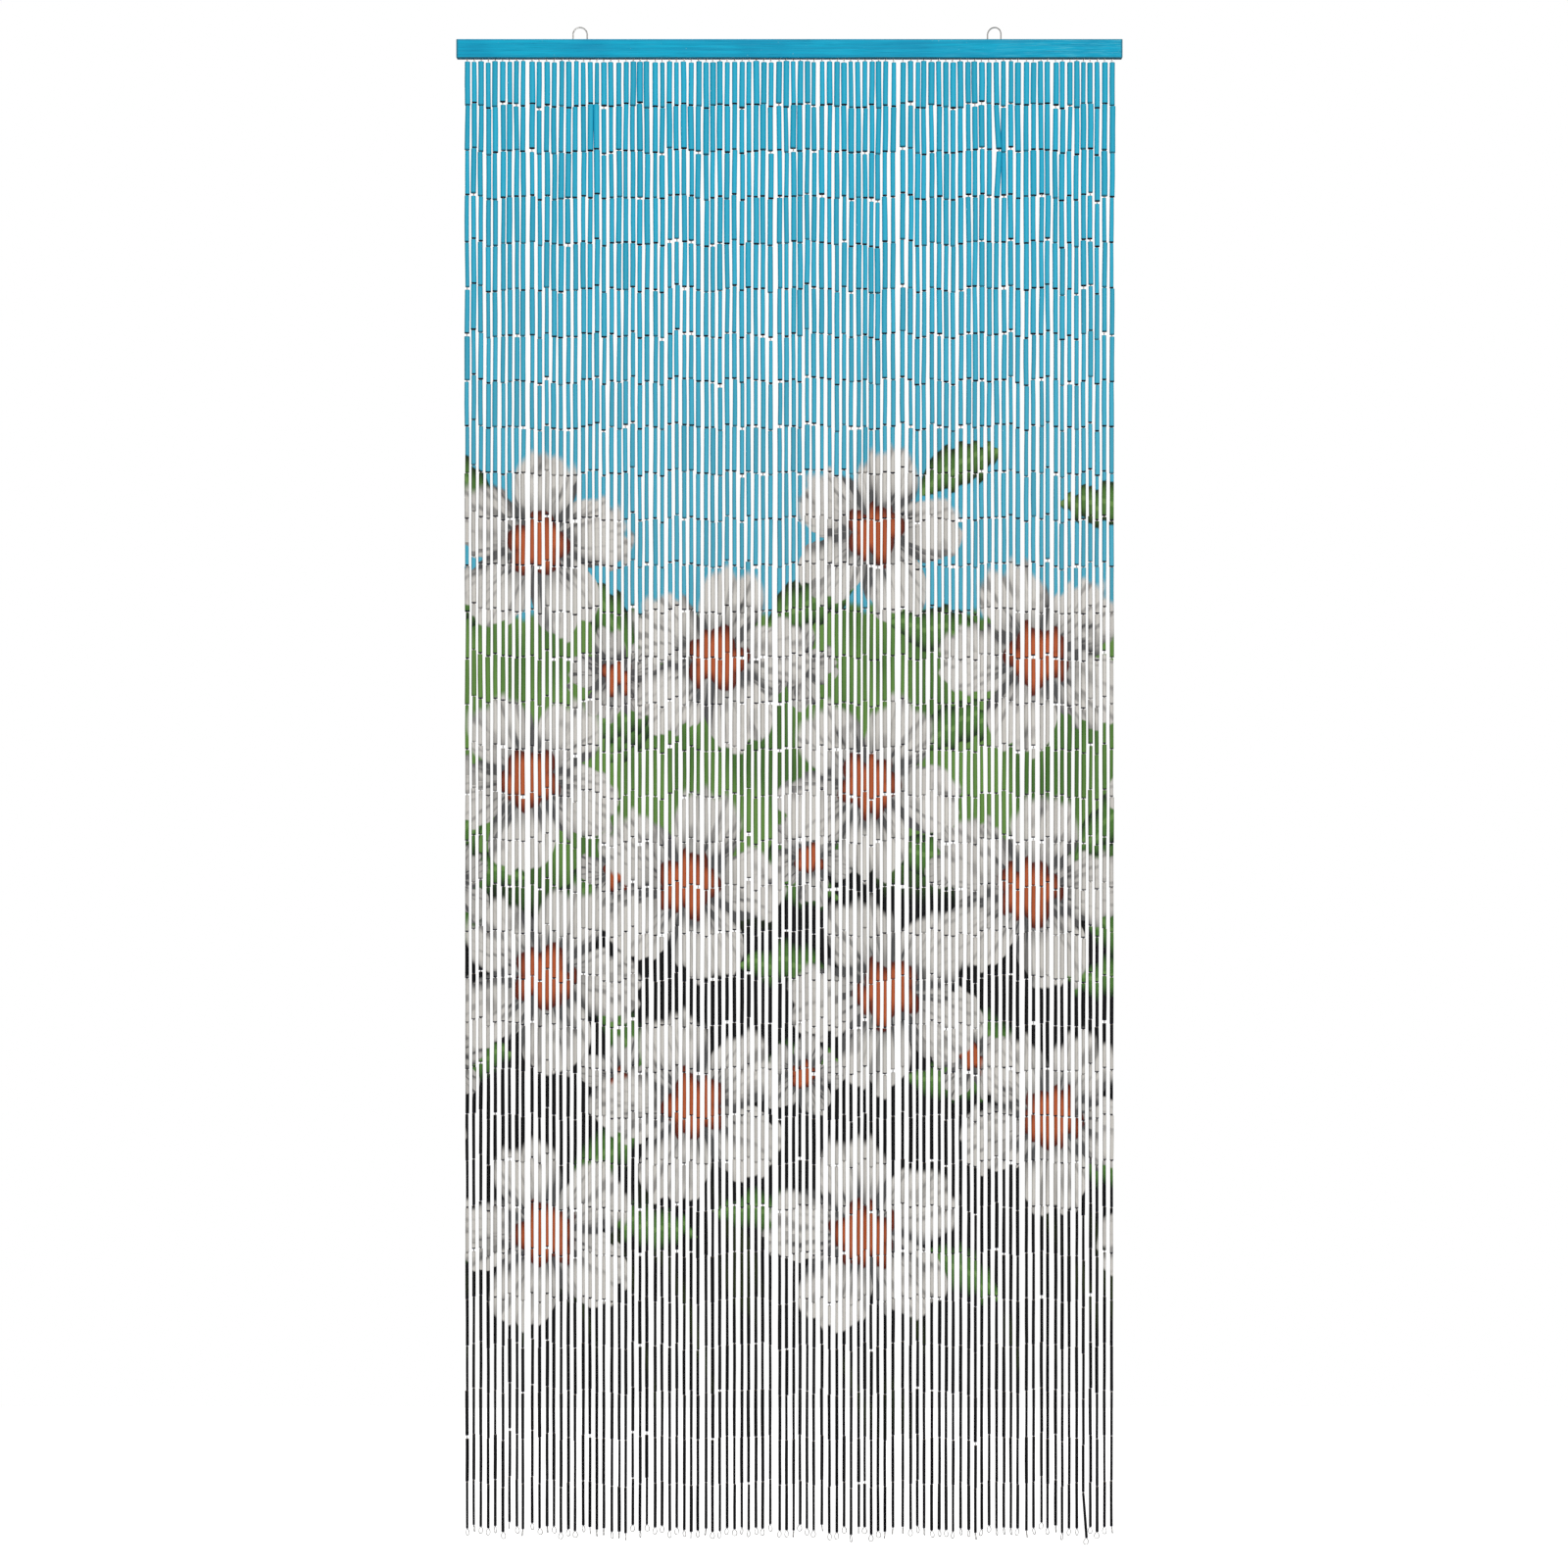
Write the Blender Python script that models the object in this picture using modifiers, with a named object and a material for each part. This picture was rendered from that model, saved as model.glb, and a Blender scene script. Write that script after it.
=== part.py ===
# Bamboo door curtain: ninety strings of painted bamboo tubes on steel wire, hung from the
# underside of a painted wooden rail that two wire loops carry.
# Metres, +Z up, +X along the rail, front towards -Y. The origin lies midway between the
# two points where the loops bear on their hooks, inside the tops of their arches.

import math
import random

import bmesh
import bpy
from mathutils import Matrix, Vector

# Rail
RAIL_LENGTH = 0.900
RAIL_DEPTH = 0.014
RAIL_HEIGHT = 0.025
RAIL_EDGE = 0.0008

# Eyes, each an arch bent from one wire, its two legs in holes in the rail's top
EYE_WIRE = 0.0019
EYE_SPAN = 0.0190
EYE_HEIGHT = 0.0180
EYE_IN_RAIL = 0.010
EYE_HOLE_CLEARANCE = 0.00035
ARCH_STEPS = 16
EYES = (
    {"name": "eye_left", "x": -0.283, "turn_deg": 5.0},
    {"name": "eye_right", "x": 0.277, "turn_deg": -22.0},
)

# Strip that holds the strings, let into a groove in the rail's underside
STRIP_LENGTH = 0.884
STRIP_WIDTH = 0.0044
STRIP_HEIGHT = 0.005
GAP = 0.0003

# Places of the strings along the rail: a wider step follows each group of drilled holes
STRAND_COUNT = 90
STRAND_SPAN = 0.8736
FIRST_GROUP = 9
GROUP_SIZE = 17
GROUP_EXTRA = 0.0016

# How far the strings stray from their even places
ROOT_STRAY = 0.00088
HANG_FROM_ROOT = 0.75
HANG_STRAY = 0.00066
DEPTH_STRAY = 0.0008
DRIFT_STRAY = 0.0004
SETTLE_LENGTH = 0.20
STRAY_SEED = 25

# Lengths of a string, down from the rail's underside
DROP = 0.0045
DROP_STRAY = 0.0012
STRING_LENGTH = 1.9880
LENGTH_STRAY = 0.0034

# Width of the tubes down a string
TUBE_WIDTHS = (
    {"share": 0.0, "width": 0.0071},
    {"share": 0.10, "width": 0.0065},
    {"share": 0.26, "width": 0.0057},
    {"share": 0.60, "width": 0.0050},
    {"share": 0.87, "width": 0.0039},
    {"share": 1.0, "width": 0.0036},
)

# Wire of the strings, and the eye that ends each of them
WIRE = 0.0012
NECK = 0.0006
LOOP_HALF_WIDTH = 0.0030
LOOP_HALF_HEIGHT = 0.0043
LOOP_ANGLES_DEG = (50.0, 110.0, 180.0, 250.0, 320.0)
FLAT_SIDES_FRONT = math.radians(45.0)

# One string near the right edge leans against its neighbour in its last stretch
LEANING_STRAND = 85
LEAN = 0.0040
LEAN_EXTRA_LENGTH = 0.008
LEAN_FORWARD = -0.0035
LEAN_LENGTH = 0.060

# Heights worked out from the eye: the arch's inner top is at zero
RAIL_TOP_Z = EYE_WIRE - EYE_HEIGHT
RAIL_UNDER_Z = RAIL_TOP_Z - RAIL_HEIGHT

# Paint, steel
RAIL_BLUE = (0.004, 0.330, 0.530, 1.0)
STRAND_BLUE = (0.060, 0.420, 0.630, 1.0)
STEEL_GREY = (0.52, 0.51, 0.50, 1.0)


def clear_scene():
    for old in list(bpy.data.objects):
        bpy.data.objects.remove(old, do_unlink=True)


def new_collection(name):
    collection = bpy.data.collections.new(name)
    bpy.context.scene.collection.children.link(collection)
    return collection


def new_material(name, colour, roughness, metallic):
    material = bpy.data.materials.new(name)
    material.use_nodes = True
    shader = material.node_tree.nodes["Principled BSDF"]
    shader.inputs["Base Color"].default_value = colour
    shader.inputs["Roughness"].default_value = roughness
    shader.inputs["Metallic"].default_value = metallic
    material.diffuse_color = colour
    return material


def new_box(name, size, place, collection):
    mesh = bpy.data.meshes.new(name)
    shape = bmesh.new()
    bmesh.ops.create_cube(shape, size=1.0)
    bmesh.ops.scale(shape, vec=size, verts=shape.verts)
    shape.to_mesh(mesh)
    shape.free()
    box = bpy.data.objects.new(name, mesh)
    box.location = place
    collection.objects.link(box)
    return box


def new_drill(name, radius, top, bottom, centre, collection):
    mesh = bpy.data.meshes.new(name)
    shape = bmesh.new()
    bmesh.ops.create_cone(
        shape, cap_ends=True, segments=16, radius1=radius, radius2=radius, depth=top - bottom)
    shape.to_mesh(mesh)
    shape.free()
    drill = bpy.data.objects.new(name, mesh)
    drill.location = (centre.x, centre.y, (top + bottom) / 2)
    collection.objects.link(drill)
    return drill


def mark_as_cutter(cutter):
    cutter.hide_render = True
    cutter.display_type = "WIRE"


def cut(target, cutter):
    cutting = target.modifiers.new(cutter.name, "BOOLEAN")
    cutting.operation = "DIFFERENCE"
    cutting.object = cutter
    cutting.solver = "EXACT"


def wire_curve(name, paths, half_width, resolution, tilt):
    # Each path is a list of (point, width factor): one wire, round or four-sided
    curve = bpy.data.curves.new(name, "CURVE")
    curve.dimensions = "3D"
    curve.bevel_depth = half_width
    curve.bevel_resolution = resolution
    curve.use_fill_caps = True
    for path in paths:
        spline = curve.splines.new("POLY")
        spline.points.add(len(path) - 1)
        for knot, (point, factor) in zip(spline.points, path):
            knot.co = (*point, 1.0)
            knot.radius = factor
            knot.tilt = tilt
    return bpy.data.objects.new(name, curve)


def curve_to_mesh(curve_object, collection):
    # The curve becomes a mesh with its caps welded on, in the same place
    collection.objects.link(curve_object)
    depsgraph = bpy.context.evaluated_depsgraph_get()
    mesh = bpy.data.meshes.new_from_object(curve_object.evaluated_get(depsgraph))
    shape = bmesh.new()
    shape.from_mesh(mesh)
    bmesh.ops.remove_doubles(shape, verts=shape.verts, dist=0.00001)
    shape.to_mesh(mesh)
    shape.free()
    name = curve_object.name
    place = curve_object.matrix_world.copy()
    bpy.data.objects.remove(curve_object, do_unlink=True)
    solid = bpy.data.objects.new(name, mesh)
    solid.matrix_world = place
    collection.objects.link(solid)
    return solid


def make_rail(parts, cutters, paint):
    middle_z = (RAIL_TOP_Z + RAIL_UNDER_Z) / 2
    rail = new_box("rail", (RAIL_LENGTH, RAIL_DEPTH, RAIL_HEIGHT), (0.0, 0.0, middle_z), parts)
    edges = rail.modifiers.new("eased_edges", "BEVEL")
    edges.width = RAIL_EDGE
    edges.segments = 2

    groove_size = (STRIP_LENGTH + 2 * GAP, STRIP_WIDTH + 2 * GAP, 2 * (STRIP_HEIGHT + GAP))
    groove = new_box("groove_cutter", groove_size, (0.0, 0.0, RAIL_UNDER_Z), cutters)
    mark_as_cutter(groove)
    cut(rail, groove)

    for eye in EYES:
        for side in ("left", "right"):
            drill = new_drill(
                eye["name"] + "_drill_" + side, EYE_WIRE / 2 + EYE_HOLE_CLEARANCE,
                RAIL_TOP_Z + EYE_WIRE, RAIL_TOP_Z - EYE_IN_RAIL - GAP, leg_place(eye, side), cutters)
            mark_as_cutter(drill)
            cut(rail, drill)
    rail.data.materials.append(paint)
    return rail


def eye_turn(eye):
    return Matrix.Rotation(math.radians(eye["turn_deg"]), 3, "Z")


def leg_place(eye, side):
    across = -EYE_SPAN / 2 if side == "left" else EYE_SPAN / 2
    return Vector((eye["x"], 0.0, 0.0)) + eye_turn(eye) @ Vector((across, 0.0, 0.0))


def eye_path():
    # Up one leg, over the half-round arch and down the other leg
    radius = EYE_SPAN / 2
    spring_z = EYE_WIRE / 2 - radius
    foot_z = RAIL_TOP_Z - EYE_IN_RAIL
    path = [Vector((-radius, 0.0, foot_z))]
    for step in range(ARCH_STEPS + 1):
        angle = math.pi * step / ARCH_STEPS
        path.append(Vector((-radius * math.cos(angle), 0.0, spring_z + radius * math.sin(angle))))
    path.append(Vector((radius, 0.0, foot_z)))
    return path


def make_eye(eye, parts, steel):
    path = [(eye_turn(eye) @ point, 1.0) for point in eye_path()]
    wire = wire_curve(eye["name"], [path], EYE_WIRE / 2, 2, 0.0)
    wire.location = (eye["x"], 0.0, 0.0)
    bpy.context.view_layer.update()
    solid = curve_to_mesh(wire, parts)
    solid.data.shade_smooth()
    solid.data.set_sharp_from_angle(angle=math.radians(50.0))
    solid.data.materials.append(steel)
    return solid


def even_places():
    # Hole centres along the rail, one pitch apart, with the wider step between groups
    groups = 1 + (STRAND_COUNT - 1 - FIRST_GROUP) // GROUP_SIZE
    pitch = (STRAND_SPAN - groups * GROUP_EXTRA) / (STRAND_COUNT - 1)
    places = []
    for index in range(STRAND_COUNT):
        passed = 0 if index < FIRST_GROUP else 1 + (index - FIRST_GROUP) // GROUP_SIZE
        places.append(index * pitch + passed * GROUP_EXTRA - STRAND_SPAN / 2)
    return places


def neighbourly_stray(chance, amount):
    # Neighbours stray alike: each value is the sum of three draws that overlap with the next
    draws = [chance.uniform(-1.0, 1.0) for _ in range(STRAND_COUNT + 2)]
    return [amount * sum(draws[index:index + 3]) for index in range(STRAND_COUNT)]


def string_table():
    chance = random.Random(STRAY_SEED)
    roots = neighbourly_stray(chance, ROOT_STRAY)
    hangs = neighbourly_stray(chance, HANG_STRAY)
    strings = []
    for index, place in enumerate(even_places()):
        strings.append({
            "root_x": place + roots[index],
            "hang_x": place + HANG_FROM_ROOT * roots[index] + hangs[index],
            "hang_y": DEPTH_STRAY * chance.uniform(-1.0, 1.0),
            "drift": DRIFT_STRAY * chance.uniform(-1.0, 1.0),
            "drop": DROP + DROP_STRAY * chance.uniform(-1.0, 1.0),
            "length": STRING_LENGTH + LENGTH_STRAY * sum(chance.uniform(-1.0, 1.0) for _ in range(3)),
            "loop_turn": chance.uniform(0.0, math.pi),
            "leans": index == LEANING_STRAND,
        })
    strings[LEANING_STRAND]["length"] += LEAN_EXTRA_LENGTH
    return strings


def string_point(string, depth):
    # Centre of a string at a depth below the rail's underside
    settled = min(1.0, depth / SETTLE_LENGTH)
    ease = settled * settled * (3.0 - 2.0 * settled)
    x = string["root_x"] + (string["hang_x"] - string["root_x"]) * ease
    x += string["drift"] * depth / STRING_LENGTH
    y = string["hang_y"] * ease
    if string["leans"]:
        into_lean = max(0.0, 1.0 - (string["length"] - depth) / LEAN_LENGTH)
        x += LEAN * into_lean
        y += LEAN_FORWARD * into_lean
    return Vector((x, y, RAIL_UNDER_Z - depth))


def string_path(string):
    half_wire = WIRE / math.sqrt(2.0)
    root = string_point(string, 0.0) + Vector((0.0, 0.0, STRIP_HEIGHT / 2))
    path = [(root, half_wire)]
    path.append((string_point(string, string["drop"] - NECK), half_wire))
    tubes = string["length"] - string["drop"]
    depths = [string["drop"] + row["share"] * tubes for row in TUBE_WIDTHS]
    if string["leans"]:
        # The last bend of the leaning string lies where its lean begins
        depths[-2] = string["length"] - LEAN_LENGTH
    for row, depth in zip(TUBE_WIDTHS, depths):
        path.append((string_point(string, depth), row["width"] / math.sqrt(2.0)))

    end = string_point(string, string["length"])
    neck = end - Vector((0.0, 0.0, NECK))
    path.append((neck, half_wire))
    turn = Matrix.Rotation(string["loop_turn"], 3, "Z")
    for angle in LOOP_ANGLES_DEG:
        round_loop = math.radians(angle)
        across = LOOP_HALF_WIDTH * math.sin(round_loop)
        down = LOOP_HALF_HEIGHT * (math.cos(round_loop) - 1.0)
        path.append((neck + turn @ Vector((across, 0.0, down)), half_wire))
    return path


def make_strands(parts, cutters, paint):
    paths = [string_path(string) for string in string_table()]
    strings = curve_to_mesh(wire_curve("strings", paths, 1.0, 0, FLAT_SIDES_FRONT), cutters)
    mark_as_cutter(strings)

    strip_size = (STRIP_LENGTH, STRIP_WIDTH, STRIP_HEIGHT)
    strip_place = (0.0, 0.0, RAIL_UNDER_Z + STRIP_HEIGHT / 2)
    strands = new_box("strands", strip_size, strip_place, parts)
    joining = strands.modifiers.new("strings_on_strip", "BOOLEAN")
    joining.operation = "UNION"
    joining.object = strings
    joining.solver = "EXACT"
    strands.data.materials.append(paint)
    return strands


def main():
    clear_scene()
    parts = new_collection("bamboo_door_curtain")
    cutters = new_collection("cutters")
    rail_paint = new_material("rail_paint", RAIL_BLUE, 0.45, 0.0)
    strand_paint = new_material("strand_paint", STRAND_BLUE, 0.5, 0.0)
    steel = new_material("steel_wire", STEEL_GREY, 0.35, 1.0)
    make_rail(parts, cutters, rail_paint)
    for eye in EYES:
        make_eye(eye, parts, steel)
    make_strands(parts, cutters, strand_paint)


main()
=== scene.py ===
# Bamboo door curtain: ninety strings of painted bamboo tubes on linked wire under a blue rail.
# The rail and its two eyes come with the frame; the tubes, wire links, end eyes, staples and
# the strip in the rail's underside are modelled here, on the same lines as the solid strings.

import math
import random

import bmesh
import bpy
import numpy as np
from mathutils import Matrix, Vector


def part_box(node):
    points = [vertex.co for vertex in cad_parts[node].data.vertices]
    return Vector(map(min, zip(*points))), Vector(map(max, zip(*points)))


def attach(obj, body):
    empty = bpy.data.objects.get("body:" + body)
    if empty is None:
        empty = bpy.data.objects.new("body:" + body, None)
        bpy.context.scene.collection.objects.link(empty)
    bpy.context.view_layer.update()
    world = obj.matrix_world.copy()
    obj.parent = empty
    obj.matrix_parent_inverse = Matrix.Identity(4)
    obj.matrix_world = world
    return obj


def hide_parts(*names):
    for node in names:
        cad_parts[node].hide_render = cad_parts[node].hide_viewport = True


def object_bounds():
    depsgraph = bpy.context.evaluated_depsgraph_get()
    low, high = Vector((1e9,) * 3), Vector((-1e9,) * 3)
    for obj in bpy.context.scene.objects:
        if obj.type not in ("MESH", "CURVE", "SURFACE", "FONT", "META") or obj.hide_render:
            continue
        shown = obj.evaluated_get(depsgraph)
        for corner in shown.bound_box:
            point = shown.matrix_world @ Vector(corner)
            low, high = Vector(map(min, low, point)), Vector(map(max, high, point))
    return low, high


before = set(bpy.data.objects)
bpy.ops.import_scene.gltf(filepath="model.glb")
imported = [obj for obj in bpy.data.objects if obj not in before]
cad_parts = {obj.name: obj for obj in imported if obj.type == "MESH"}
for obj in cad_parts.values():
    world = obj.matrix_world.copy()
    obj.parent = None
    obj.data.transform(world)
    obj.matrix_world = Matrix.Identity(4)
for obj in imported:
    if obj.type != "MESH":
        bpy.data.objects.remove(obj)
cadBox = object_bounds()

# Places that the frame gives: the rail's box and the lowest point of the strings
railLow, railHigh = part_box("rail")
railUnder = railLow.z
railTop = railHigh.z

# The strings' own sizes, the same as in the solids
strings = {
    "count": 90,
    "span": 0.8736,
    "firstGroup": 9,          # strings left of the first wider step
    "groupSize": 17,
    "groupExtra": 0.0016,     # how much wider the step after a group is
    "rootStray": 0.00088,
    "hangFromRoot": 0.75,
    "hangStray": 0.00066,
    "depthStray": 0.0008,
    "driftStray": 0.0004,
    "settleLength": 0.20,
    "seed": 25,
    "drop": 0.0045,           # wire that shows between the rail and the first tube
    "dropStray": 0.0012,
    "length": 1.9880,
    "lengthStray": 0.0034,
    "leaning": 85,            # this string leans against its neighbour at the end
    "lean": 0.0040,
    "leanExtra": 0.008,
    "leanForward": -0.0035,
    "leanLength": 0.060,
    "perPiece": 10,           # strings joined in one piece
}

tubes = {
    "perString": 32,
    "sides": 8,
    "width": 0.006,           # of the pattern tube, before it is scaled
    "length": 0.0590,
    "bore": 0.64,             # bore across the tube's width
    "chamfer": 0.0004,
    "easedRim": 0.86,         # end's width inside its eased rim
    "widthShares": (0.0, 0.10, 0.26, 0.60, 0.87, 1.0),
    "widths": (0.0077, 0.0070, 0.0062, 0.0054, 0.0043, 0.0039),
    "widthStray": 0.085,
    "widthMost": 0.16,
    "widthOfRoom": 0.93,      # no wider than this share of the room beside it
    "linkStray": 0.0021,      # wire links differ this much in length
    "firstStray": 0.0042,     # the first ones differ more
    "gapLeast": 0.0002,
    "gapUsual": 0.0006,
    "gapWide": 0.0040,        # more room where a tube is cut short
    "wideJoints": (1, 10),
    "wideShares": (0.27, 0.13),
    "sideSlack": 0.00040,     # how far a tube stands off its wire
    "jointStray": 0.0005,     # joints hang this far off the string's line, less lower down
    "jointStrayEnds": 1.4,
    "shiftStray": 0.0075,     # strings hang higher or lower than when they were painted
    "tubeShiftStray": 0.002,  # and each tube a little more
    "mapColumns": 30,         # cells of the map across
    "wallOfMap": 0.74,        # share of a cell that the outer wall takes
    "seed": 41,
}

# Joints that wide tubes push aside: near the top one string leans in front of its neighbour
pushed = (
    {"string": 73, "joint": 1, "by": (0.0006, -0.0008)},
    {"string": 73, "joint": 2, "by": (0.0040, -0.0030)},
    {"string": 73, "joint": 3, "by": (0.0002, -0.0010)},
    {"string": 74, "joint": 1, "by": (0.0, 0.0008)},
    {"string": 74, "joint": 2, "by": (0.0004, 0.0024)},
    {"string": 74, "joint": 3, "by": (0.0, 0.0010)},
)

links = {
    "wire": 0.0007,
    "ringHalfWidth": 0.00072,
    "ringHalfHeight": 0.00112,
    "ringPoints": 6,
    "pitch": 0.062,
    "topJoint": 0.0023,       # first joint's depth below the rail
    "twist": 0.35,
    "sharpFrom": 100.0,       # degrees between faces, past which an edge stays sharp
}

wireOfMap = 0.84              # share of a cell that a wire's skin takes
ninetyCells = (10, 9)         # map of a piece with one copy for each string


# The same places as the solid strings, from the same draws
def evenPlaces():
    groups = 1 + (strings["count"] - 1 - strings["firstGroup"]) // strings["groupSize"]
    pitch = (strings["span"] - groups * strings["groupExtra"]) / (strings["count"] - 1)
    places = []
    for index in range(strings["count"]):
        passed = 0
        if index >= strings["firstGroup"]:
            passed = 1 + (index - strings["firstGroup"]) // strings["groupSize"]
        places.append(index * pitch + passed * strings["groupExtra"] - strings["span"] / 2)
    return places


def neighbourlyStray(chance, amount):
    draws = [chance.uniform(-1.0, 1.0) for _ in range(strings["count"] + 2)]
    return [amount * sum(draws[index:index + 3]) for index in range(strings["count"])]


def stringTable():
    chance = random.Random(strings["seed"])
    roots = neighbourlyStray(chance, strings["rootStray"])
    hangs = neighbourlyStray(chance, strings["hangStray"])
    table = []
    for index, place in enumerate(evenPlaces()):
        table.append({
            "rootX": place + roots[index],
            "hangX": place + strings["hangFromRoot"] * roots[index] + hangs[index],
            "hangY": strings["depthStray"] * chance.uniform(-1.0, 1.0),
            "drift": strings["driftStray"] * chance.uniform(-1.0, 1.0),
            "drop": strings["drop"] + strings["dropStray"] * chance.uniform(-1.0, 1.0),
            "length": strings["length"] + strings["lengthStray"] * sum(
                chance.uniform(-1.0, 1.0) for _ in range(3)),
            "loopTurn": chance.uniform(0.0, math.pi),
            "leans": index == strings["leaning"],
        })
    table[strings["leaning"]]["length"] += strings["leanExtra"]
    return table


def stringPoint(string, depth):
    settled = min(1.0, depth / strings["settleLength"])
    ease = settled * settled * (3.0 - 2.0 * settled)
    x = string["rootX"] + (string["hangX"] - string["rootX"]) * ease
    x += string["drift"] * depth / strings["length"]
    y = string["hangY"] * ease
    if string["leans"]:
        intoLean = max(0.0, 1.0 - (string["length"] - depth) / strings["leanLength"])
        x += strings["lean"] * intoLean
        y += strings["leanForward"] * intoLean
    return Vector((x, y, railUnder - depth))


# Small helpers for meshes
def newObject(name, mesh):
    made = bpy.data.objects.new(name, mesh)
    bpy.context.scene.collection.objects.link(made)
    return made


def smoothMesh(mesh, sharpDegrees):
    mesh.shade_smooth()
    mesh.set_sharp_from_angle(angle=math.radians(sharpDegrees))


def wireMesh(name, path, width, resolution):
    # a wire along the path, made a mesh with its caps welded on
    curve = bpy.data.curves.new(name, "CURVE")
    curve.dimensions = "3D"
    curve.bevel_depth = width / 2
    curve.bevel_resolution = resolution
    curve.use_fill_caps = True
    spline = curve.splines.new("POLY")
    spline.points.add(len(path) - 1)
    for knot, point in zip(spline.points, path):
        knot.co = (*point, 1.0)
    holder = newObject(name, curve)
    depsgraph = bpy.context.evaluated_depsgraph_get()
    mesh = bpy.data.meshes.new_from_object(holder.evaluated_get(depsgraph))
    bpy.data.objects.remove(holder, do_unlink=True)
    shape = bmesh.new()
    shape.from_mesh(mesh)
    bmesh.ops.remove_doubles(shape, verts=shape.verts, dist=0.00001)
    shape.to_mesh(mesh)
    shape.free()
    return mesh


def layOut(mesh, length, wallTo):
    # unrolls a small pattern mesh about its own axis into one cell of the map
    shape = bmesh.new()
    shape.from_mesh(mesh)
    layer = shape.loops.layers.uv.new("OFBake")
    for face in shape.faces:
        middle = face.calc_center_median()
        turn = math.atan2(middle.y, middle.x)
        inward = face.normal.dot(Vector((middle.x, middle.y, 0.0))) < 0
        for loop in face.loops:
            place = loop.vert.co
            angle = math.atan2(place.y, place.x)
            if angle - turn > math.pi:
                angle -= 2 * math.pi
            if turn - angle > math.pi:
                angle += 2 * math.pi
            around = 0.04 + wallTo * (angle / (2 * math.pi) + 0.5)
            if inward:
                around = wallTo + 0.08 + (0.88 - wallTo) * (angle / (2 * math.pi) + 0.5)
            loop[layer].uv = (around, 0.06 + 0.88 * place.z / length)
    shape.to_mesh(mesh)
    shape.free()


def joinCopies(name, copies, columns, rows):
    # one mesh from many placed copies of small ones, each with its own cell of the map
    joined = bmesh.new()
    joined.loops.layers.uv.new("OFBake")
    start = 0
    for copy in copies:
        joined.from_mesh(copy["mesh"])
        joined.verts.ensure_lookup_table()
        bmesh.ops.transform(joined, matrix=copy["matrix"], verts=joined.verts[start:])
        start = len(joined.verts)
    mesh = bpy.data.meshes.new(name)
    joined.to_mesh(mesh)
    joined.free()
    layer = mesh.uv_layers["OFBake"]
    spots = np.empty(2 * len(mesh.loops), dtype=np.float32)
    layer.uv.foreach_get("vector", spots)
    spots = spots.reshape(len(copies), -1, 2)
    cells = np.arange(len(copies))
    spots[:, :, 0] = (spots[:, :, 0] + (cells % columns)[:, None]) / columns
    spots[:, :, 1] = (spots[:, :, 1] + (cells // columns)[:, None]) / rows
    layer.uv.foreach_set("vector", spots.ravel())
    return mesh


def alongBetween(low, high, spin, widthScale, lengthScale):
    # stands a pattern mesh at the lower point, its own axis towards the upper one
    direction = (high - low).normalized()
    turn = Vector((0.0, 0.0, 1.0)).rotation_difference(direction).to_matrix().to_4x4()
    spinning = Matrix.Rotation(spin, 4, "Z")
    scale = Matrix.Diagonal((widthScale, widthScale, lengthScale, 1.0))
    return Matrix.Translation(low) @ turn @ spinning @ scale


# Bamboo tube: a wall with its two ends cut square, their rims eased, and a bore right through
def tubeMesh(name, topFactor, middleFactor, bow):
    radius = tubes["width"] / 2
    length = tubes["length"]
    ease = tubes["chamfer"]
    shape = bmesh.new()
    ring = bmesh.ops.create_circle(shape, cap_ends=False, segments=tubes["sides"], radius=radius)
    low = ring["verts"]
    bmesh.ops.translate(shape, verts=low, vec=(0.0, 0.0, ease))
    edges = [edge for edge in shape.edges]
    rims = [edges]
    halfWall = length / 2 - ease
    for factor, side in ((middleFactor, bow), (topFactor, -bow)):
        grown = bmesh.ops.extrude_edge_only(shape, edges=edges)
        verts = [item for item in grown["geom"] if isinstance(item, bmesh.types.BMVert)]
        edges = [item for item in grown["geom"] if isinstance(item, bmesh.types.BMEdge)]
        bmesh.ops.translate(shape, verts=verts, vec=(side, 0.0, halfWall))
        bmesh.ops.scale(shape, verts=verts, vec=(factor, factor, 1.0))
    rims.append(edges)
    bores = []
    rimFactor = tubes["easedRim"]
    for rim, way in zip(rims, (-1.0, 1.0)):
        for factor, step in ((rimFactor, ease), (tubes["bore"] / rimFactor, 0.0)):
            grown = bmesh.ops.extrude_edge_only(shape, edges=rim)
            verts = [item for item in grown["geom"] if isinstance(item, bmesh.types.BMVert)]
            rim = [item for item in grown["geom"] if isinstance(item, bmesh.types.BMEdge)]
            bmesh.ops.scale(shape, verts=verts, vec=(factor, factor, 1.0))
            bmesh.ops.translate(shape, verts=verts, vec=(0.0, 0.0, way * step))
        bores.extend(rim)
    bmesh.ops.bridge_loops(shape, edges=bores)
    bmesh.ops.recalc_face_normals(shape, faces=shape.faces)
    for face in shape.faces:
        middle = face.calc_center_median()
        inward = face.normal.dot(Vector((middle.x, middle.y, 0.0))) < 0
        face.material_index = 1 if inward or abs(face.normal.z) > 0.9 else 0
        face.smooth = True
    for edge in shape.edges:
        # round along the wall, crisp where the wall meets the eased rim and the cut end
        first, second = edge.link_faces
        edge.smooth = abs(first.normal.z - second.normal.z) < 0.3
    mesh = bpy.data.meshes.new(name)
    shape.to_mesh(mesh)
    shape.free()
    layOut(mesh, length, tubes["wallOfMap"])
    return mesh


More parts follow.
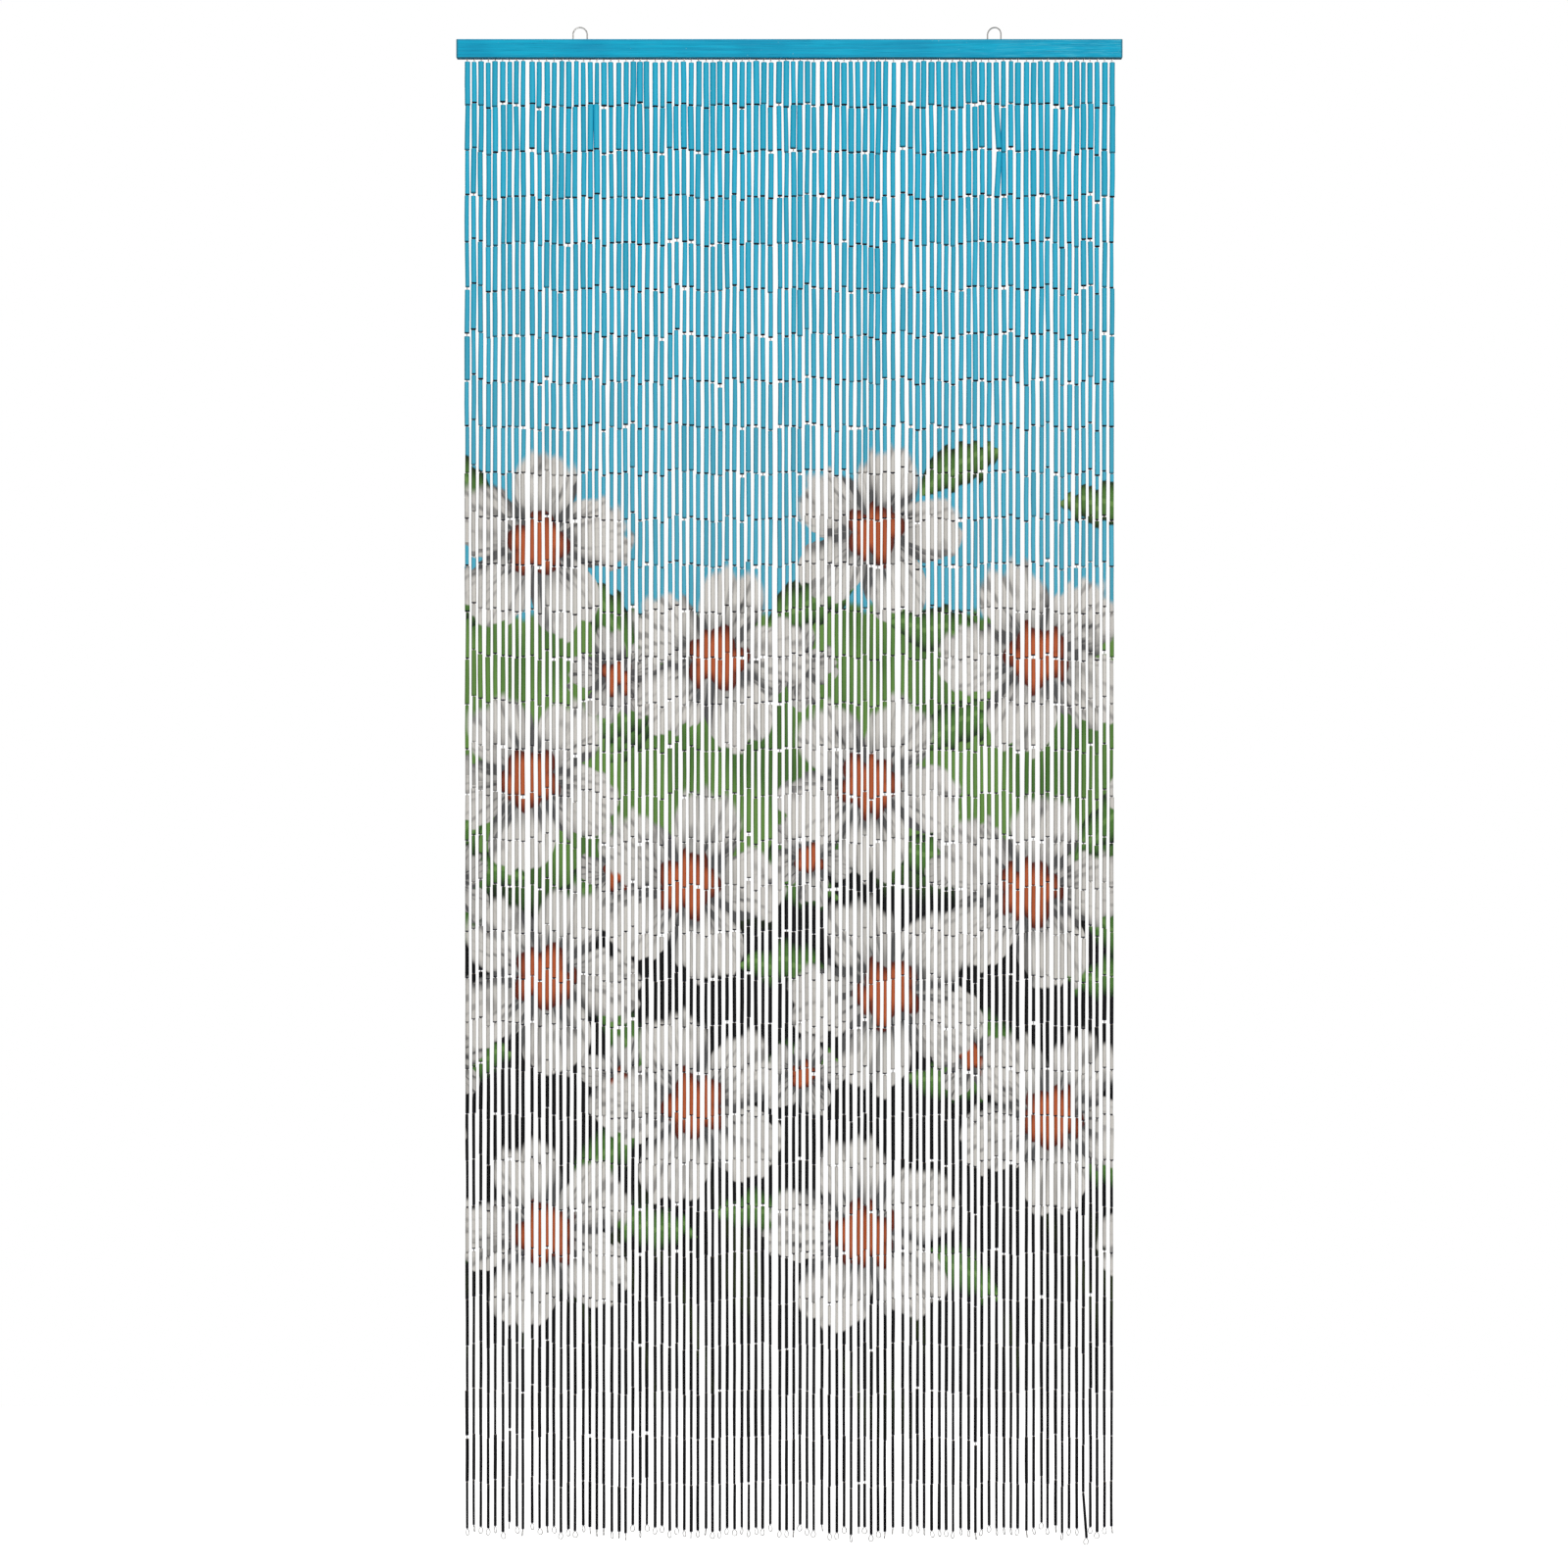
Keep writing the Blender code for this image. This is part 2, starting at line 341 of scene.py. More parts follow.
def linkMesh():
    # wire of one tube: a small ring above, a straight shank, a small ring below, square to the first
    half = links["wire"] / 2
    tall = links["ringHalfHeight"]
    wide = links["ringHalfWidth"]
    steps = links["ringPoints"]
    upper = Vector((0.0, 0.0, links["pitch"] + half - tall))
    lower = Vector((0.0, 0.0, tall - half))
    path = []
    for step in range(1, steps):
        angle = 2 * math.pi * step / steps
        path.append(upper + Vector((0.0, -wide * math.sin(angle), -tall * math.cos(angle))))
    path.append(upper - Vector((0.0, 0.0, tall)))
    path.append(lower + Vector((0.0, 0.0, tall)))
    for step in range(1, steps):
        angle = 2 * math.pi * step / steps
        path.append(lower + Vector((wide * math.sin(angle), 0.0, tall * math.cos(angle))))
    mesh = wireMesh("link_pattern", path, links["wire"], 0)
    smoothMesh(mesh, links["sharpFrom"])
    layOut(mesh, links["pitch"], wireOfMap)
    return mesh


def jointDepths(string, chance):
    # depths of a string's joints: even links that differ a little, from the rail to the end eye
    count = tubes["perString"]
    walk = [0.0, tubes["firstStray"] * chance.uniform(-1.0, 1.0)]
    for _ in range(count - 1):
        walk.append(walk[-1] + tubes["linkStray"] * chance.uniform(-1.0, 1.0))
    first = links["topJoint"]
    last = string["length"] + links["wire"]
    depths = []
    for index, stray in enumerate(walk):
        share = index / count
        depths.append(first + (last - first) * share + stray - walk[-1] * share)
    return depths


def jointPlaces(table, row, chance):
    # where the joints of a string hang
    string = table[row]
    places = []
    for joint, depth in enumerate(jointDepths(string, chance)):
        place = stringPoint(string, depth)
        if 0 < joint < tubes["perString"]:
            fade = max(0.0, 1.0 - depth / tubes["jointStrayEnds"])
            place.x += tubes["jointStray"] * fade * chance.uniform(-1.0, 1.0)
            place.y += tubes["jointStray"] * fade * chance.uniform(-1.0, 1.0)
        for push in pushed:
            if push["string"] == row and push["joint"] == joint:
                place += Vector((*push["by"], 0.0))
        places.append(place)
    return places


def widthAt(share):
    return float(np.interp(share, tubes["widthShares"], tubes["widths"]))


def roomBeside(joints, row, index):
    # distance to the nearer neighbour, at the joint above or below a tube
    room = 1.0
    for other in (row - 1, row + 1):
        if 0 <= other < len(joints):
            for joint in (index, index + 1):
                room = min(room, (joints[row][joint] - joints[other][joint]).xy.length)
    return room


def gapHalves(string, chance):
    # half of the room between two tubes, at each joint down the string; the joint is in its middle
    halves = [string["drop"] - links["topJoint"]]
    for joint in range(1, tubes["perString"]):
        gap = tubes["gapLeast"] + tubes["gapUsual"] * chance.random()
        if chance.random() < np.interp(joint, tubes["wideJoints"], tubes["wideShares"]):
            gap += tubes["gapWide"] * chance.random()
        halves.append(gap / 2)
    halves.append(links["wire"])
    return halves


def makeStrings(table, tubePaint, cutBamboo, steel):
    patterns = [
        tubeMesh("tube_pattern_straight", 1.0, 1.01, 0.0),
        tubeMesh("tube_pattern_slim_top", 0.93, 0.98, 0.00012),
        tubeMesh("tube_pattern_waisted", 1.02, 0.96, -0.00010),
        tubeMesh("tube_pattern_bowed", 0.97, 1.02, 0.00022),
    ]
    link = linkMesh()
    chance = random.Random(tubes["seed"])
    allJoints = [jointPlaces(table, row, chance) for row in range(strings["count"])]
    groups = strings["count"] // strings["perPiece"]
    for group in range(groups):
        tubeCopies = []
        linkCopies = []
        facts = []
        for row in range(group * strings["perPiece"], (group + 1) * strings["perPiece"]):
            string = table[row]
            joints = allJoints[row]
            halves = gapHalves(string, chance)
            turn = chance.uniform(0.0, math.pi)
            shift = tubes["shiftStray"] * chance.uniform(-1.0, 1.0)
            for index in range(tubes["perString"]):
                high = joints[index]
                low = joints[index + 1]
                turn += links["twist"] * chance.uniform(-1.0, 1.0)
                reach = (high - low).length
                linkCopies.append({
                    "mesh": link,
                    "matrix": alongBetween(low, high, turn, 1.0, reach / links["pitch"]),
                })
                direction = (high - low).normalized()
                length = reach - halves[index] - halves[index + 1]
                most = tubes["widthMost"]
                stray = max(-most, min(most, chance.gauss(0.0, tubes["widthStray"])))
                width = widthAt((index + 0.5) / tubes["perString"]) * (1.0 + stray)
                width = min(width, tubes["widthOfRoom"] * roomBeside(allJoints, row, index))
                slack = tubes["sideSlack"] * width / tubes["width"]
                foot = low + direction * halves[index + 1]
                foot += Vector((slack * chance.uniform(-1.0, 1.0), slack * chance.uniform(-1.0, 1.0), 0.0))
                head = foot + direction * length
                head += Vector((slack * chance.uniform(-1.0, 1.0), 0.0, 0.0))
                tubeCopies.append({
                    "mesh": patterns[chance.randrange(len(patterns))],
                    "matrix": alongBetween(
                        foot, head, chance.uniform(0.0, 2 * math.pi), width / tubes["width"],
                        length / tubes["length"]),
                })
                facts.append((
                    shift + tubes["tubeShiftStray"] * chance.uniform(-1.0, 1.0), chance.random(), 0.0))
        columns = tubes["mapColumns"]
        rows = math.ceil(len(tubeCopies) / columns)
        mesh = joinCopies("tubes_%d" % (group + 1), tubeCopies, columns, rows)
        addFacts(mesh, patterns[0], facts)
        mesh.materials.append(tubePaint)
        mesh.materials.append(cutBamboo)
        piece = newObject("tubes_%d" % (group + 1), mesh)
        standFor(piece)

        mesh = joinCopies("links_%d" % (group + 1), linkCopies, columns, rows)
        mesh.materials.append(steel)
        piece = newObject("links_%d" % (group + 1), mesh)
        standFor(piece)
    print("strings:", groups, "groups of tubes and links")


def addFacts(mesh, pattern, facts):
    # on every point: how far the painting is shifted on this string, the tube's own tone,
    # and the height along the tube from 0 to 1
    heights = np.array([vert.co.z / tubes["length"] for vert in pattern.vertices], dtype=np.float32)
    values = np.repeat(np.array(facts, dtype=np.float32)[:, None, :], len(heights), axis=1)
    values[:, :, 2] = heights[None, :]
    layer = mesh.attributes.new("tube", "FLOAT_VECTOR", "POINT")
    layer.data.foreach_set("vector", values.ravel())


def standFor(piece):
    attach(piece, "root")
    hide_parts("strands")


# Wire eyes under the last tubes, turned every way
endEyes = {
    "wire": 0.0011,
    "neck": 0.0006,
    "halfWidth": 0.0030,
    "halfHeight": 0.0043,
    "points": 18,
    "intoTube": 0.004,
    "pinch": 0.18,            # how much narrower an eye is at its top than at its foot
    "stretch": 0.10,
    "tilt": 0.16,
    "sharpFrom": 80.0,
    "mapHeight": 0.02,
    "seed": 7,
}


def makeEndEyes(table, steel):
    chance = random.Random(endEyes["seed"])
    copies = []
    path = [Vector((0.0, 0.0, endEyes["intoTube"])), Vector((0.0, 0.0, 0.0))]
    for step in range(1, endEyes["points"]):
        angle = 2 * math.pi * step / endEyes["points"]
        pinch = 1.0 - endEyes["pinch"] * math.cos(angle)
        across = endEyes["halfWidth"] * math.sin(angle) * pinch
        path.append(Vector((across, 0.0, endEyes["halfHeight"] * (math.cos(angle) - 1.0))))
    pattern = wireMesh("end_eye_pattern", path, endEyes["wire"], 1)
    smoothMesh(pattern, endEyes["sharpFrom"])
    layOut(pattern, endEyes["mapHeight"], wireOfMap)
    for string in table:
        end = stringPoint(string, string["length"]) - Vector((0.0, 0.0, endEyes["neck"]))
        size = 1.0 + endEyes["stretch"] * chance.uniform(-1.0, 0.6)
        tilt = Matrix.Rotation(endEyes["tilt"] * chance.uniform(-1.0, 1.0), 4, "Y")
        turn = Matrix.Rotation(string["loopTurn"], 4, "Z")
        scale = Matrix.Diagonal((size, 1.0, 1.0 + 0.5 * (1.0 - size), 1.0))
        copies.append({"mesh": pattern, "matrix": Matrix.Translation(end) @ tilt @ turn @ scale})
    mesh = joinCopies("end_eyes", copies, *ninetyCells)
    mesh.materials.append(steel)
    piece = newObject("end_eyes", mesh)
    standFor(piece)
    print("end eyes:", len(copies))


# Staples that hold each string's first link in the strip
staples = {
    "wire": 0.0009,
    "halfWidth": 0.0012,
    "hang": 0.0019,
    "intoStrip": 0.0020,
    "sharpFrom": 80.0,
    "mapHeight": 0.01,
}


def makeStaples(table, steel):
    half = staples["halfWidth"]
    low = -staples["hang"] + staples["wire"] / 2
    path = [
        Vector((-half, 0.0, staples["intoStrip"])), Vector((-half, 0.0, low + half * 0.5)),
        Vector((-half * 0.5, 0.0, low)), Vector((half * 0.5, 0.0, low)),
        Vector((half, 0.0, low + half * 0.5)), Vector((half, 0.0, staples["intoStrip"])),
    ]
    pattern = wireMesh("staple_pattern", path, staples["wire"], 1)
    smoothMesh(pattern, staples["sharpFrom"])
    layOut(pattern, staples["mapHeight"], wireOfMap)
    copies = []
    for string in table:
        copies.append({"mesh": pattern, "matrix": Matrix.Translation(stringPoint(string, 0.0))})
    mesh = joinCopies("staples", copies, *ninetyCells)
    mesh.materials.append(steel)
    piece = newObject("staples", mesh)
    standFor(piece)
    print("staples:", len(copies))


# Strip let into the rail's underside
strip = {"length": 0.884, "width": 0.0044, "height": 0.005, "edge": 0.0003, "sharpFrom": 40.0}


def makeStrip(paint):
    shape = bmesh.new()
    bmesh.ops.create_cube(shape, size=1.0)
    bmesh.ops.scale(shape, verts=shape.verts, vec=(strip["length"], strip["width"], strip["height"]))
    bmesh.ops.translate(shape, verts=shape.verts, vec=(0.0, 0.0, railUnder + strip["height"] / 2))
    bmesh.ops.bevel(
        shape, geom=shape.edges, affect="EDGES", offset=strip["edge"], segments=2, profile=0.5, material=-1)
    mesh = bpy.data.meshes.new("rail_strip")
    shape.to_mesh(mesh)
    shape.free()
    smoothMesh(mesh, strip["sharpFrom"])
    mesh.materials.append(paint)
    piece = newObject("rail_strip", mesh)
    standFor(piece)
    print("strip in the rail's underside")


# Sums of shader nodes
def nodeMaker(tree):
    def put(socket, value):
        if isinstance(value, bpy.types.NodeSocket):
            tree.links.new(value, socket)
        elif isinstance(value, tuple) and len(value) == 3 and socket.type == "RGBA":
            socket.default_value = (*value, 1.0)
        else:
            socket.default_value = value

    def sums(operation, *values):
        node = tree.nodes.new("ShaderNodeMath")
        node.operation = operation
        for socket, value in zip(node.inputs, values):
            put(socket, value)
        return node.outputs[0]

    def ramp(value, low, high, toLow=0.0, toHigh=1.0, smooth=True):
        node = tree.nodes.new("ShaderNodeMapRange")
        node.interpolation_type = "SMOOTHSTEP" if smooth else "LINEAR"
        for socket, item in zip(node.inputs, (value, low, high, toLow, toHigh)):
            put(socket, item)
        return node.outputs[0]

    def mix(factor, first, second):
        node = tree.nodes.new("ShaderNodeMix")
        node.data_type = "RGBA"
        put(node.inputs[0], factor)
        put(node.inputs[6], first)
        put(node.inputs[7], second)
        return node.outputs[2]

    def join(x, y, z):
        node = tree.nodes.new("ShaderNodeCombineXYZ")
        for socket, value in zip(node.inputs, (x, y, z)):
            put(socket, value)
        return node.outputs[0]

    def noise(place, scale, detail=2.0, roughness=0.5):
        node = tree.nodes.new("ShaderNodeTexNoise")
        put(node.inputs["Vector"], place)
        put(node.inputs["Scale"], scale)
        put(node.inputs["Detail"], detail)
        put(node.inputs["Roughness"], roughness)
        return node.outputs["Fac"]

    def draws(place):
        node = tree.nodes.new("ShaderNodeTexWhiteNoise")
        node.noise_dimensions = "3D"
        put(node.inputs["Vector"], place)
        split = tree.nodes.new("ShaderNodeSeparateColor")
        put(split.inputs[0], node.outputs["Color"])
        return split.outputs

    return sums, ramp, mix, join, noise, draws


def newPaint(name):
    material = bpy.data.materials.new(name)
    material.use_nodes = True
    tree = material.node_tree
    shader = tree.nodes["Principled BSDF"]
    place = tree.nodes.new("ShaderNodeTexCoord")
    split = tree.nodes.new("ShaderNodeSeparateXYZ")
    tree.links.new(place.outputs["Object"], split.inputs[0])
    return material, tree, shader, place.outputs["Object"], split.outputs


def addBump(tree, shader, height, strength, distance):
    bump = tree.nodes.new("ShaderNodeBump")
    bump.inputs["Strength"].default_value = strength
    bump.inputs["Distance"].default_value = distance
    tree.links.new(height, bump.inputs["Height"])
    tree.links.new(bump.outputs[0], shader.inputs["Normal"])


def toLinear(red, green, blue):
    # display values from 0 to 255 to the shader's own scale
    values = []
    for value in (red, green, blue):
        share = value / 255.0
        values.append(share / 12.92 if share <= 0.04045 else ((share + 0.055) / 1.055) ** 2.4)
    return tuple(values)


# Painting on the strings: an airbrushed ground and rows of plain five-petalled blossoms
painting = {
    "skyHigh": toLinear(44, 184, 218),
    "skyLow": toLinear(82, 182, 208),
    "green": toLinear(108, 152, 72),
    "greenDeep": toLinear(74, 118, 50),
    "night": toLinear(3, 4, 6),
    "olive": toLinear(52, 66, 26),
    "petal": toLinear(222, 218, 211),
    "petalGrey": toLinear(92, 92, 92),
    "throat": toLinear(196, 96, 52),
    "throatRim": toLinear(92, 30, 20),
    "leaf": toLinear(82, 128, 56),
    "leafDark": toLinear(20, 42, 22),
    "leafVein": toLinear(112, 154, 80),
    "skyEnd": -0.790,         # where the sky gives way to green
    "greenEnd": -1.140,       # where the green gives way to the dark
}

# Sets of blossoms, each strewn loosely in its own wide grid, from the hindmost to the foremost:
# a small one, then four large ones
blossoms = (
    {"cell": (0.236, 0.270), "centre": (0.015, -1.140), "radius": 0.064,
     "stray": (0.030, 0.040), "rows": (-1.66, -0.80), "keep": 0.20, "dim": 0.30, "leaves": False},
    {"cell": (0.450, 0.608), "centre": (0.118, -0.690), "radius": 0.132,
     "stray": (0.030, 0.030), "rows": (-1.60, -0.60), "keep": 0.0, "dim": 0.04, "leaves": True},
    {"cell": (0.450, 0.608), "centre": (-0.112, -0.862), "radius": 0.140,
     "stray": (0.036, 0.026), "rows": (-1.60, -0.60), "keep": 0.0, "dim": 0.0, "leaves": True},
    {"cell": (0.450, 0.608), "centre": (0.104, -1.012), "radius": 0.138,
     "stray": (0.034, 0.030), "rows": (-1.75, -0.60), "keep": 0.0, "dim": 0.0, "leaves": True},
    {"cell": (0.450, 0.608), "centre": (-0.124, -1.172), "radius": 0.134,
     "stray": (0.034, 0.030), "rows": (-1.70, -0.60), "keep": 0.0, "dim": 0.03, "leaves": True},
)

petalSector = 2 * math.pi / 5


def blossomPlace(kit, x, z, one, order):
    # where a point lies from the middle of its grid's blossom, and the blossom's own chances
    sums, ramp, mix, join, noise, draws = kit
    wide, tall = one["cell"]
    u = sums("ADD", sums("DIVIDE", sums("SUBTRACT", x, one["centre"][0]), wide), 0.5)
    v = sums("ADD", sums("DIVIDE", sums("SUBTRACT", z, one["centre"][1]), tall), 0.5)
    column = sums("FLOOR", u)
    row = sums("FLOOR", v)
    chance = draws(join(column, row, 3.0 + 8.0 * order))
    other = draws(join(column, row, 7.0 + 8.0 * order))
    across = sums("MULTIPLY", sums("SUBTRACT", sums("SUBTRACT", u, column), 0.5), wide)
    up = sums("MULTIPLY", sums("SUBTRACT", sums("SUBTRACT", v, row), 0.5), tall)
    middle = sums("ADD", sums("MULTIPLY", row, tall), one["centre"][1])
    shown = sums(
        "MULTIPLY", sums("GREATER_THAN", middle, one["rows"][0]), sums("LESS_THAN", middle, one["rows"][1]))
    return {
        "across": sums("ADD", across, sums("MULTIPLY", sums("SUBTRACT", other[0], 0.5), one["stray"][0])),
        "up": sums("ADD", up, sums("MULTIPLY", sums("SUBTRACT", other[1], 0.5), one["stray"][1])),
        "row": row, "column": column, "chance": chance,
        "shown": sums("MULTIPLY", shown, sums("GREATER_THAN", chance[1], one["keep"])),
    }


def leafLayer(kit, place, ground):
    # a pair of pointed leaves behind a blossom, one to each side
    sums, ramp, mix, join, noise, draws = kit
    lean = sums("MULTIPLY", sums("SUBTRACT", place["chance"][1], 0.5), 1.5)
    cosine = sums("COSINE", lean)
    sine = sums("SINE", lean)
    along = sums("ADD", sums("MULTIPLY", place["across"], cosine), sums("MULTIPLY", place["up"], sine))
    off = sums("SUBTRACT", sums("MULTIPLY", place["up"], cosine), sums("MULTIPLY", place["across"], sine))
    reach = sums("DIVIDE", sums("SUBTRACT", sums("ABSOLUTE", along), 0.080), 0.125)
    inside = sums("MULTIPLY", sums("GREATER_THAN", reach, 0.0), sums("LESS_THAN", reach, 1.0))
    offAxis = sums("ABSOLUTE", sums("ADD", off, sums("MULTIPLY", sums("MULTIPLY", reach, reach), 0.030)))
    kept = sums("MINIMUM", sums("MAXIMUM", reach, 0.0), 1.0)
    halfWidth = sums("MULTIPLY", sums("POWER", sums("SINE", sums("MULTIPLY", kept, math.pi)), 0.8), 0.032)
    mask = sums("MULTIPLY", ramp(offAxis, halfWidth, sums("SUBTRACT", halfWidth, 0.003)), inside)
    mask = sums("MULTIPLY", mask, place["shown"])
    edge = ramp(offAxis, sums("MULTIPLY", halfWidth, 0.35), halfWidth)
    colour = mix(edge, painting["leaf"], painting["leafDark"])
    colour = mix(ramp(offAxis, 0.0016, 0.0050), painting["leafVein"], colour)
    return mix(mask, ground, colour)


def blossomLayer(kit, place, ground, one):
    # five broad petals, sprayed with grey strokes, round a five-pointed throat
    sums, ramp, mix, join, noise, draws = kit
    across, up, chance = place["across"], place["up"], place["chance"]
    size = sums("MULTIPLY", sums("ADD", sums("MULTIPLY", chance[2], 0.20), 0.88), one["radius"])
    radius = sums("SQRT", sums("ADD", sums("MULTIPLY", across, across), sums("MULTIPLY", up, up)))
    radius = sums("DIVIDE", radius, size)
    angle = sums("ADD", sums("ARCTAN2", up, across), sums("MULTIPLY", chance[0], 2 * math.pi))
    sector = sums("DIVIDE", angle, petalSector)
    petal = sums("FLOOR", sector)
    side = sums("SUBTRACT", sums("MULTIPLY", sums("SUBTRACT", sector, petal), 2.0), 1.0)
    spread = sums("ABSOLUTE", side)
    lobe = sums("SUBTRACT", 1.0, sums("MULTIPLY", sums("POWER", spread, 2.4), 0.44))
    lobe = sums("SUBTRACT", lobe, ramp(spread, 0.18, 0.0, 0.0, 0.07))
    ragged = noise(join(sums("MULTIPLY", sector, 1.3), place["row"], place["column"]), 2.2, 1.0)
    lobe = sums("ADD", lobe, sums("MULTIPLY", sums("SUBTRACT", ragged, 0.5), 0.16))
    soft = ramp(up, -0.03, 0.06, 0.030, 0.10)     # tops fade out, feet are masked off sharply
    mask = sums("MULTIPLY", ramp(radius, lobe, sums("SUBTRACT", lobe, soft)), place["shown"])

    seat = sums("ADD", sums("MULTIPLY", petal, 1.7), sums("MULTIPLY", place["row"], 3.1))
    streak = noise(join(sums("MULTIPLY", side, 4.2), sums("MULTIPLY", radius, 0.9), seat), 1.5, 0.0)
    stroke = noise(join(sums("MULTIPLY", side, 1.2), sums("MULTIPLY", radius, 3.0), seat), 1.4, 0.0)
    shade = ramp(streak, 0.52, 0.74, 0.0, 0.62)
    shade = sums("ADD", shade, ramp(stroke, 0.62, 0.80, 0.0, 0.45))
    shade = sums("ADD", shade, ramp(side, -0.52, -1.0, 0.0, 1.0))
    shade = sums("ADD", shade, ramp(side, 0.86, 1.0, 0.0, 0.45))
    shade = sums("ADD", shade, ramp(radius, 0.56, 0.34, 0.0, 0.50))
    shade = sums("MINIMUM", sums("ADD", shade, one["dim"]), 1.0)
    colour = mix(mask, ground, mix(shade, painting["petal"], painting["petalGrey"]))

    rim = sums("SUBTRACT", 0.36, sums("MULTIPLY", sums("POWER", spread, 1.5), 0.10))
    throat = sums("MULTIPLY", ramp(radius, rim, sums("SUBTRACT", rim, 0.025)), place["shown"])
    depth = ramp(radius, sums("MULTIPLY", rim, 0.50), sums("MULTIPLY", rim, 0.98))
    return mix(throat, colour, mix(depth, painting["throat"], painting["throatRim"]))


def paintTubes():
    material, tree, shader, place, axes = newPaint("strand_paint_fine")
    kit = nodeMaker(tree)
    sums, ramp, mix, join, noise, draws = kit
    facts = tree.nodes.new("ShaderNodeAttribute")
    facts.attribute_name = "tube"
    split = tree.nodes.new("ShaderNodeSeparateXYZ")
    tree.links.new(facts.outputs["Vector"], split.inputs[0])
    shift, tone, along = split.outputs
    x = axes[0]
    z = sums("ADD", axes[2], shift)

    # sky, hills and the dark below them
    wave = sums("MULTIPLY", sums("SUBTRACT", noise(join(x, 0.0, 0.0), 3.4, 2.0), 0.5), 0.13)
    patch = sums("MULTIPLY", sums("SUBTRACT", noise(join(x, z, 2.0), 5.0, 3.0), 0.5), 0.34)
    sky = mix(ramp(z, -0.10, painting["skyEnd"]), painting["skyHigh"], painting["skyLow"])
    greenShade = ramp(noise(join(x, sums("MULTIPLY", z, 0.5), 7.0), 9.0, 2.0), 0.42, 0.62)
    green = mix(greenShade, painting["green"], painting["greenDeep"])
    toGreen = ramp(sums("ADD", z, wave), painting["skyEnd"] + 0.006, painting["skyEnd"] - 0.006)
    colour = mix(toGreen, sky, green)
    toNight = ramp(sums("ADD", z, patch), painting["greenEnd"] + 0.05, painting["greenEnd"] - 0.05)
    colour = mix(toNight, colour, painting["night"])
    leaning = sums("MULTIPLY", sums("ADD", x, sums("MULTIPLY", z, 0.35)), 3.0)
    blade = noise(join(leaning, sums("MULTIPLY", z, 0.55), 4.0), 7.0, 1.0)
    blades = sums("MULTIPLY", ramp(blade, 0.60, 0.68), ramp(z, -1.52, -1.62))
    blades = sums("MULTIPLY", blades, ramp(z, -1.93, -1.80))
    colour = mix(sums("MULTIPLY", blades, 0.55), colour, painting["olive"])
    places = [blossomPlace(kit, x, z, one, order) for order, one in enumerate(blossoms)]
    for one, spot in zip(blossoms, places):
        if one["leaves"]:
            colour = leafLayer(kit, spot, colour)
    for one, spot in zip(blossoms, places):
        colour = blossomLayer(kit, spot, colour, one)

    # sprayed paint over bamboo: each tube a little lighter or darker, long fibres, worn rims, and painted
    # shade at each tube's foot
    brightness = ramp(tone, 0.0, 1.0, 0.90, 1.06, False)
    scaled = tree.nodes.new("ShaderNodeVectorMath")
    scaled.operation = "SCALE"
    tree.links.new(colour, scaled.inputs[0])
    tree.links.new(brightness, scaled.inputs["Scale"])
    fibrePlace = tree.nodes.new("ShaderNodeMapping")
    fibrePlace.inputs["Scale"].default_value = (1.0, 1.0, 0.035)
    tree.links.new(place, fibrePlace.inputs["Vector"])
    fibre = noise(fibrePlace.outputs[0], 2600.0, 2.0, 0.6)
    speckle = noise(place, 900.0, 2.0, 0.6)
    painted = mix(ramp(fibre, 0.62, 0.80, 0.0, 0.22), scaled.outputs[0], toLinear(14, 15, 18))
    worn = sums("MULTIPLY", ramp(along, 0.982, 0.997), ramp(speckle, 0.44, 0.60, 0.0, 0.6))
    painted = mix(worn, painted, toLinear(150, 128, 100))
    # painted shade: each tube's foot is darkened to navy, standing in for the shade in its open bore and in
    # the joint beneath it
    footShade = sums("MULTIPLY", ramp(along, 0.040, 0.020), ramp(tone, 0.05, 0.60, 0.40, 1.0))
    painted = mix(footShade, painted, toLinear(12, 14, 34))
    tree.links.new(painted, shader.inputs["Base Color"])
    tree.links.new(ramp(fibre, 0.3, 0.8, 0.50, 0.68, False), shader.inputs["Roughness"])
    shader.inputs["Specular IOR Level"].default_value = 0.2
    addBump(tree, shader, fibre, 0.35, 0.00012)
    return material


def paintCutBamboo():
    # bare bamboo of the bores and the sawn ends, in dark browns that are partly painted shade inside the
    # bores and at the joints, touched by overspray
    material, tree, shader, place, axes = newPaint("cut_bamboo")
    sums, ramp, mix, join, noise, draws = nodeMaker(tree)
    grain = noise(place, 1800.0, 3.0, 0.6)
    blot = noise(place, 260.0, 2.0)
    # painted shade: the bare bamboo is given dark browns so the bores and cut ends at the joints read as
    # shade
    colour = mix(ramp(grain, 0.35, 0.70), toLinear(92, 74, 52), toLinear(38, 30, 24))
    colour = mix(ramp(blot, 0.52, 0.66, 0.0, 0.6), colour, toLinear(24, 60, 74))
    tree.links.new(colour, shader.inputs["Base Color"])
    shader.inputs["Roughness"].default_value = 0.85
    addBump(tree, shader, grain, 0.4, 0.0001)
    return material


